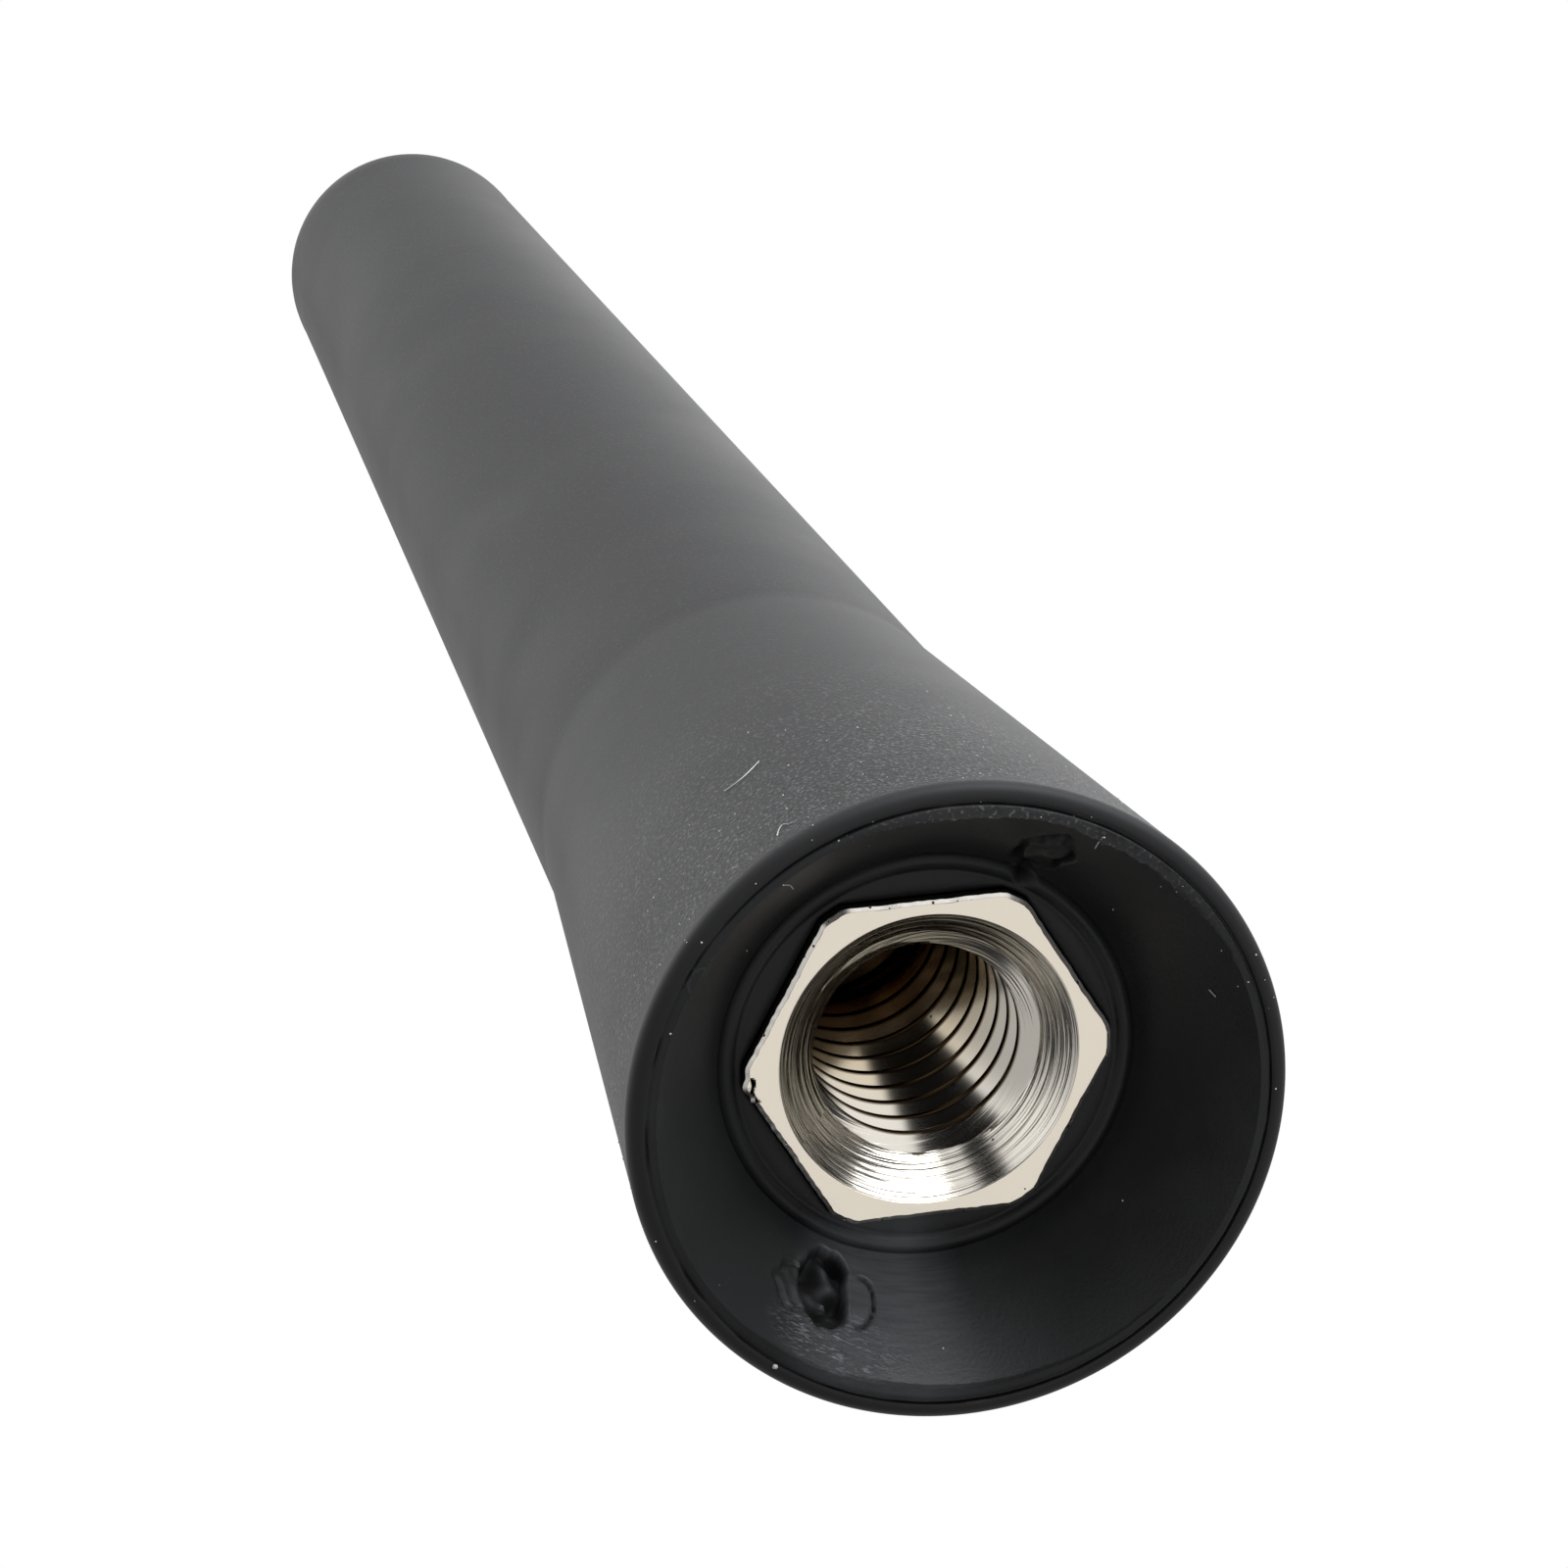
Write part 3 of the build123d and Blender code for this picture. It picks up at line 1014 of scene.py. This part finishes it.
def millimetres(tree):
    """Object coordinates in millimetres."""
    place = add_node(tree, "ShaderNodeTexCoord")["Object"]
    return add_node(tree, "ShaderNodeVectorMath", {0: place, 3: 1 / MM}, operation="SCALE")[0]


def raised(tree, height, distance):
    """The normal of a surface raised by a height from 0 to 1, to a distance in millimetres."""
    return add_node(tree, "ShaderNodeBump", {"Height": height, "Distance": distance * MM})[0]


def made(finish):
    """The material of a finish, a function that gives the shader's inputs from the tree and the place."""
    material = bpy.data.materials.new(finish.__name__)
    material.use_nodes = True
    tree = material.node_tree
    feed(tree, tree.nodes["Principled BSDF"], finish(tree, millimetres(tree)))
    return material


# Materials

def grained_rubber(tree, place):
    """The sheath's outside: black rubber, its fine matt grain running out to a smooth edge at its rim, which
    is painted darker as shade, less on the lit side.
    """
    height = split(tree, place)["Z"]
    drawn = stretched(tree, place, (1.0, 1.0, 0.7))
    grain = grains(tree, drawn, size=0.085)
    coarse = grains(tree, drawn, size=0.30)
    patches = mottle(tree, place, size=9.0)
    # The rim's smooth edge is painted darker as shade; towards the lit side it is painted lighter and
    # narrower
    painted_lit_side = measured(tree, "DOT_PRODUCT", place, Vector(painted_light_direction) / base_radius)
    painted_lit_side = ramp(tree, painted_lit_side, 0.1, 0.9)
    edge_height = calculate(tree, "ADD", height, times(tree, painted_lit_side, 0.30))
    grained = ramp(tree, edge_height, 0.20, 1.25)
    uneven_height = calculate(tree, "ADD", height, times(tree, patches, 3.0))
    handled = ramp(tree, uneven_height, 16.0, 2.5, 0.14, 1.0)
    strength = times(tree, grained, handled)
    colour = layered(
        tree, mix_colour(tree, patches, (0.0235, 0.0235, 0.0247), (0.0280, 0.0280, 0.0293)),
        (times(tree, grain["Hollows"], strength, 0.95), (0.004, 0.004, 0.0042)),
        (times(tree, grain["Tops"], strength, 0.80), (0.155, 0.155, 0.158)),
    )
    # painted shade on the rim's smooth edge, lighter towards the lit side
    painted_shade_edge_colour = mix_colour(tree, painted_lit_side, (0.008, 0.008, 0.0085), (0.015, 0.015, 0.016))
    relief = calculate(tree, "ADD", times(tree, coarse["Height"], 0.4), grain["Height"])
    return {
        "Base Color": mix_colour(tree, grained, painted_shade_edge_colour, colour),
        "Roughness": mix_value(tree, grained, 0.60, mix_value(tree, patches, 0.60, 0.68)),
        "Specular IOR Level": 0.30,
        "Sheen Weight": 0.18,
        "Sheen Roughness": 0.24,
        "Normal": raised(tree, times(tree, relief, strength), distance=0.025),
    }


def scuff_streaks(tree, place):
    """Pale rubbed streaks in the dish, along its wall beside the torn gate."""
    inputs = {0: place, "Location": scuff_centre, "Rotation": (0, 0, math.radians(scuff_direction))}
    local = add_node(tree, "ShaderNodeMapping", inputs, vector_type="TEXTURE")[0]
    streaks = noise(tree, stretched(tree, local, (2.8, 17.0, 10.0)), detail=4.0, distortion=1.2)
    reach = measured(tree, "LENGTH", stretched(tree, local, (0.44, 0.80, 0.80)))
    return times(tree, ramp(tree, streaks, 0.46, 0.68), ramp(tree, reach, 1.0, 0.2))


def painted_sheen(tree, place):
    """A painted sheen on a patch of the dish's wall, with fine lines round it, strongest towards the wall's
    foot.
    """
    parts = split(tree, place)
    height = parts["Z"]
    bearing = bearing_of(tree, parts)
    off_middle = apart(tree, bearing, math.radians(painted_sheen_direction))
    patch = ramp(tree, off_middle, math.radians(25), math.radians(8))
    foot = ramp(tree, height, 0.2, 2.2, 0.55, 1.0)
    lines = noise(tree, joined(tree, times(tree, bearing, 5.0), times(tree, height, 12.0)))
    return times(tree, patch, foot, ramp(tree, lines, 0.30, 0.70, 0.65, 1.0))


def towards_side(tree, place, direction):
    """How far a place in the dish lies towards a direction, with 1 at the edge of the dish."""
    side = Vector((math.cos(math.radians(direction)), math.sin(math.radians(direction)), 0)) / dish_mouth
    return measured(tree, "DOT_PRODUCT", place, side)


def witness_ring(tree, place):
    """The faint round edge of an ejector pin, across the rim and the dish."""
    from_pin = measured(tree, "DISTANCE", place, witness_centre)
    return ramp(tree, apart(tree, from_pin, witness_radius), 0.05, 0.0)


def satin_rubber(tree, place):
    """The lip and the dish: the same rubber, smooth from a polished mould, with its marks and tears, painted
    shade towards one side, a painted sheen beside the torn gate and painted light on the torn lip.
    """
    patches = mottle(tree, place, size=2.4)
    grain = grains(tree, place, size=0.11)
    torn = add_node(tree, "ShaderNodeAttribute", attribute_name="gate_cut_depth")["Fac"]
    lip_and_light = add_node(tree, "ShaderNodeAttribute", attribute_name="torn_lip_and_painted_light")["Fac"]
    streaks = scuff_streaks(tree, place)
    pin = witness_ring(tree, place)
    # Painted shade: the dish's colour is darker towards one side
    painted_shade_side = ramp(tree, towards_side(tree, place, shaded_wall_direction), 0.15, 0.50)
    side_share = ramp(tree, towards_side(tree, place, dull_wall_direction), 0.50, 0.80)
    colour = layered(
        tree, mix_colour(tree, patches, (0.0138, 0.0143, 0.0152), (0.0178, 0.0184, 0.0194)),
        (times(tree, painted_shade_side, 0.50), (0.005, 0.0052, 0.0056)),
        # painted sheen on the dish's wall beside the torn gate
        (painted_sheen(tree, place), (0.062, 0.066, 0.071)),
        (times(tree, streaks, 0.90), (0.185, 0.196, 0.208)),
        # the torn lip's rough pale finish, with painted light on one side
        (lip_and_light, mix_colour(tree, grain["Tops"], (0.038, 0.038, 0.039), (0.15, 0.15, 0.152))),
        (times(tree, pin, 0.6), (0.035, 0.035, 0.036)),
        # darker the deeper the gates cut
        (torn, (0.0025, 0.0025, 0.0026)),
    )
    rough = mix_value(tree, patches, 0.34, 0.41)
    for share, roughness in ((side_share, 0.62), (streaks, 0.28), (lip_and_light, 0.62), (torn, 0.70)):
        rough = mix_value(tree, share, rough, roughness)
    relief = calculate(
        tree, "ADD", times(tree, grain["Height"], 0.3), streaks, times(tree, pin, 0.8),
        times(tree, grain["Height"], lip_and_light),
    )
    return {
        "Base Color": colour,
        "Roughness": rough,
        "Specular IOR Level": 0.22,
        "Normal": raised(tree, relief, distance=0.02),
    }


def turned_nickel(tree, place):
    """The insert's plate: satin on the face, bright and turned in the countersink, brown deep inside, with
    painted shade on one side of the countersink, in the thread and on the hexagon's sides.
    """
    parts = split(tree, place)
    flat = joined(tree, parts["X"], parts["Y"])
    radius = measured(tree, "LENGTH", flat)
    depth = calculate(tree, "SUBTRACT", parts["Z"], insert_face)
    in_hole = calculate(tree, "LESS_THAN", radius, mouth_radius)
    inside = times(tree, ramp(tree, depth, 0.005, 0.03), in_hole)
    sunk = times(tree, inside, ramp(tree, depth, sink_depth + 1.0, sink_depth + 0.4))
    # The hexagon's sides, below the face, are painted dark as shade
    below = times(tree, ramp(tree, depth, 0.002, 0.01), calculate(tree, "SUBTRACT", 1.0, in_hole))
    edge = times(tree, below, ramp(tree, depth, 0.09, 0.06))
    # Painted shade: one side of the countersink is painted darker
    shaded_sink_side = calculate(tree, "DIVIDE", measured(tree, "DOT_PRODUCT", flat, shaded_sink_direction), radius)
    side_share = times(tree, ramp(tree, shaded_sink_side, -0.1, 0.6), sunk)
    in_root = times(tree, ramp(tree, radius, root_radius - 0.14, root_radius - 0.06), inside)
    # Painted shade: the thread's roots are painted dark brown past the countersink
    painted_root_shade = times(tree, in_root, ramp(tree, depth, sink_depth + 0.6, sink_depth + 1.6))
    # Painted shade: the thread's crests are painted dark as thin lines between the flanks
    painted_crest_shade = times(tree, ramp(tree, radius, thread_minor + 0.06, thread_minor + 0.01), inside)
    painted_crest_shade = times(tree, painted_crest_shade, ramp(tree, depth, sink_depth, sink_depth + 0.3))
    lines = noise(tree, joined(tree, times(tree, depth, 12.0), times(tree, bearing_of(tree, parts), 0.35)))
    patches = mottle(tree, place, size=1.3)
    grain = grains(tree, place, size=0.07)
    chips = times(tree, pitted(tree, place, spacing=0.10, amount=0.22, size=0.026), edge)
    pits = calculate(tree, "MAXIMUM", pitted(tree, place, spacing=0.42, amount=0.16, size=0.022), chips)
    colour = layered(
        tree, mix_colour(tree, patches, (0.745, 0.680, 0.579), (0.785, 0.718, 0.615)),
        (inside, (0.80, 0.755, 0.68)),
        (ramp(tree, depth, 2.0, 7.0), (0.68, 0.58, 0.43)),
        (ramp(tree, depth, 7.5, 10.8), (0.34, 0.19, 0.08)),
        (ramp(tree, depth, 10.5, 13.0), (0.14, 0.08, 0.04)),
        # painted shade on one side of the countersink
        (side_share, (0.45, 0.43, 0.365)),
        # painted shade in the thread's roots
        (painted_root_shade, (0.05, 0.033, 0.02)),
        # painted shade on the thread's crests
        (painted_crest_shade, (0.17, 0.13, 0.085)),
        # painted shade on the hexagon's sides
        (below, (0.10, 0.088, 0.068)),
        (edge, (0.93, 0.90, 0.84)),
        (pits, (0.10, 0.08, 0.06)),
    )
    bright = mix_value(tree, sunk, 0.13, mix_value(tree, lines, 0.08, 0.22))
    satin = times(tree, grain["Height"], mix_value(tree, inside, 0.06, 0.0))
    relief = calculate(tree, "SUBTRACT", calculate(tree, "ADD", times(tree, lines, sunk), satin), pits)
    return {
        "Base Color": colour,
        "Metallic": 1.0,
        "Roughness": mix_value(tree, inside, mix_value(tree, patches, 0.19, 0.25), bright),
        "Normal": raised(tree, relief, distance=0.022),
    }


def settled_lint(tree, place):
    """Dust and lint: pale grey fibre with uneven tone."""
    patches = mottle(tree, place, size=0.3)
    return {
        "Base Color": mix_colour(tree, patches, (0.42, 0.42, 0.41), (0.72, 0.71, 0.69)),
        "Roughness": 0.8,
    }


def enamelled_copper(tree, place):
    """The winding: copper under a clear amber enamel, with a faint grain."""
    patches = mottle(tree, place, size=1.8)
    grain = grains(tree, place, size=0.12)["Height"]
    return {
        "Base Color": mix_colour(tree, patches, (0.58, 0.24, 0.11), (0.70, 0.31, 0.15)),
        "Metallic": 1.0,
        "Roughness": mix_value(tree, grain, 0.22, 0.38),
        "Coat Weight": 0.6,
        "Normal": raised(tree, grain, distance=0.006),
    }


def glass_fibre(tree, place):
    """The rod: pale resin with drawn glass strands along it."""
    strands = grains(tree, stretched(tree, place, (1.0, 1.0, 0.02)), size=0.16)["Height"]
    patches = mottle(tree, place, size=5.0)
    colour = mix_colour(tree, strands, (0.50, 0.47, 0.32), (0.78, 0.75, 0.60))
    return {
        "Base Color": mix_colour(tree, times(tree, patches, 0.3), colour, (0.62, 0.60, 0.42)),
        "Roughness": mix_value(tree, patches, 0.42, 0.55),
        "Normal": raised(tree, strands, distance=0.015),
    }


def dull_solder(tree, place):
    """The solder ring: grey tin, frosted where it cooled, with small pits."""
    patches = mottle(tree, place, size=0.7)
    pits = pitted(tree, place, spacing=0.3, amount=0.2, size=0.03)
    colour = mix_colour(tree, patches, (0.52, 0.53, 0.54), (0.70, 0.71, 0.72))
    return {
        "Base Color": mix_colour(tree, pits, colour, (0.25, 0.25, 0.25)),
        "Metallic": 1.0,
        "Roughness": mix_value(tree, patches, 0.30, 0.52),
        "Normal": raised(tree, calculate(tree, "SUBTRACT", patches, pits), distance=0.02),
    }


def shrunk_sleeve(tree, place):
    """The sleeve over the winding: thin black plastic, satin, faintly wrinkled round the turns."""
    wrinkles = mottle(tree, stretched(tree, place, (0.4, 0.4, 2.0)), size=1.4)
    grain = grains(tree, place, size=0.15)["Height"]
    return {
        "Base Color": mix_colour(tree, wrinkles, (0.014, 0.014, 0.015), (0.026, 0.026, 0.027)),
        "Roughness": mix_value(tree, wrinkles, 0.38, 0.52),
        "Normal": raised(tree, calculate(tree, "ADD", wrinkles, grain), distance=0.03),
    }


# Stage

def pale_floor(tree, place):
    """The floor near the mast, which takes its shadow."""
    patches = mottle(tree, place, size=60.0)
    return {
        "Base Color": mix_colour(tree, patches, (0.86, 0.86, 0.86), (0.88, 0.88, 0.88)),
        "Roughness": 0.8,
        "Specular IOR Level": 0.2,
    }


def fading_floor():
    """The pale floor, which fades to the backdrop away from the mast and is clear from below."""
    material = made(pale_floor)
    tree = material.node_tree
    near = tree.nodes["Principled BSDF"].outputs[0]
    backdrop = add_node(tree, "ShaderNodeEmission", {"Color": (1, 1, 1, 1), "Strength": 1.0})[0]
    clear = add_node(tree, "ShaderNodeBsdfTransparent")[0]
    far = ramp(tree, measured(tree, "LENGTH", millimetres(tree)), shadow_end, backdrop_start)
    seen = add_node(tree, "ShaderNodeMixShader", {0: far, 1: near, 2: backdrop})[0]
    under = add_node(tree, "ShaderNodeNewGeometry")["Backfacing"]
    both = add_node(tree, "ShaderNodeMixShader", {0: under, 1: seen, 2: clear})[0]
    feed(tree, tree.nodes["Material Output"], {"Surface": both})
    return material


def floor():
    """The floor that the mast stands on. Only the camera sees it, so light from below reaches the dish."""
    half = floor_half_width * MM
    drop = -floor_drop * MM
    corners = [(-half, -half, drop), (half, -half, drop), (half, half, drop), (-half, half, drop)]
    mesh = bpy.data.meshes.new("floor")
    mesh.from_pydata(corners, [], [(0, 1, 2, 3)])
    mesh.materials.append(fading_floor())
    piece = placed("floor", mesh)
    piece.visible_diffuse = False
    piece.visible_glossy = False
    piece.visible_transmission = False
    piece.visible_shadow = False


def seen_towards(tree, towards, direction, edge, core):
    """1 in a round patch of the surroundings and 0 outside it, from the angles of its edge and core."""
    facing = measured(tree, "DOT_PRODUCT", towards, Vector(direction).normalized())
    return ramp(tree, facing, math.cos(math.radians(edge)), math.cos(math.radians(core)))


def studio_world():
    """Even soft light and a white backdrop. Reflections show a dim left side, dark corners and the lens."""
    world = bpy.data.worlds.new("studio")
    bpy.context.scene.world = world
    world.use_nodes = True
    tree = world.node_tree
    tree.nodes.clear()
    path = add_node(tree, "ShaderNodeLightPath")
    towards = add_node(tree, "ShaderNodeTexCoord")["Generated"]
    lens = [seen_towards(tree, towards, *patch) for patch in lens_patches]
    reflected = layered(
        tree, mix_colour(tree, seen_towards(tree, towards, *left_patch), (1, 1, 1), (0.50, 0.50, 0.50)),
        *((seen_towards(tree, towards, *patch), (0.03, 0.03, 0.03)) for patch in corner_patches),
        (calculate(tree, "MAXIMUM", *lens), (0.004, 0.004, 0.004)),
    )
    shown = mix_colour(tree, path["Is Glossy Ray"], (1, 1, 1), reflected)
    backdrop = add_node(tree, "ShaderNodeBackground", {"Color": shown, "Strength": 1.0})[0]
    soft = add_node(tree, "ShaderNodeBackground", {"Color": (1, 1, 1, 1), "Strength": ambient_level})[0]
    rays = (path["Is Camera Ray"], path["Is Glossy Ray"], path["Is Transmission Ray"])
    direct = calculate(tree, "MAXIMUM", *rays)
    mixed = add_node(tree, "ShaderNodeMixShader", {0: direct, 1: soft, 2: backdrop})[0]
    add_node(tree, "ShaderNodeOutputWorld", {"Surface": mixed})


def softbox(name, direction, distance, width, height, brightness, colour):
    """A soft lamp that faces the mast's base. Brightness is how bright its face looks, with white at 1."""
    lamp = bpy.data.lights.new(name, "AREA")
    lamp.shape = "RECTANGLE"
    lamp.size = width
    lamp.size_y = height
    lamp.energy = math.pi * width * height * brightness
    lamp.color = colour
    piece = placed(name, lamp)
    away = Vector(direction).normalized()
    piece.location = Vector((0, 0, aim_height * MM)) + away * distance
    piece.rotation_euler = away.to_track_quat("Z", "Y").to_euler()
    piece.visible_camera = False


def photo_camera():
    """The camera below the base, looking up along the mast, turned as the photograph is."""
    lens = bpy.data.cameras.new("photo_camera")
    lens.sensor_width = sensor_width
    lens.lens = focal_length
    lens.clip_start = 1 * MM
    lens.clip_end = 10.0
    camera = placed("photo_camera", lens)
    azimuth = Matrix.Rotation(math.radians(camera_azimuth), 4, "Z")
    tilt = Matrix.Rotation(math.radians(90 + camera_tilt), 4, "X")
    roll = Matrix.Rotation(math.radians(camera_roll), 4, "Z")
    camera.matrix_world = Matrix.Translation(Vector(camera_place) * MM) @ azimuth @ tilt @ roll
    bpy.context.scene.camera = camera


# The object

sheath = rubber_sheath(made(grained_rubber), made(satin_rubber))
insert = threaded_insert(made(turned_nickel))
winding = antenna_winding(made(enamelled_copper))
lint = made(settled_lint)
for piece in (dust_specks(sheath, lint), lint_fibres(lint), rim_flake(lint)):
    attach(piece, "root")
for piece, node, slot in (
    (sheath, "rubber_sheath", "sheath_rubber"),
    (insert, "threaded_insert", "insert_nickel"),
    (winding, "antenna_winding", "winding_copper"),
):
    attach(piece, "root")
    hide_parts(node)

for node, finish in (
    ("core_rod", glass_fibre),
    ("solder_joint", dull_solder),
    ("winding_sleeve", shrunk_sleeve),
):
    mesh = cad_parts[node].data
    mesh.materials.clear()
    mesh.materials.append(made(finish))

floor()
studio_world()
for box in softboxes:
    softbox(*box)
photo_camera()
bpy.context.scene.view_settings.view_transform = "Standard"
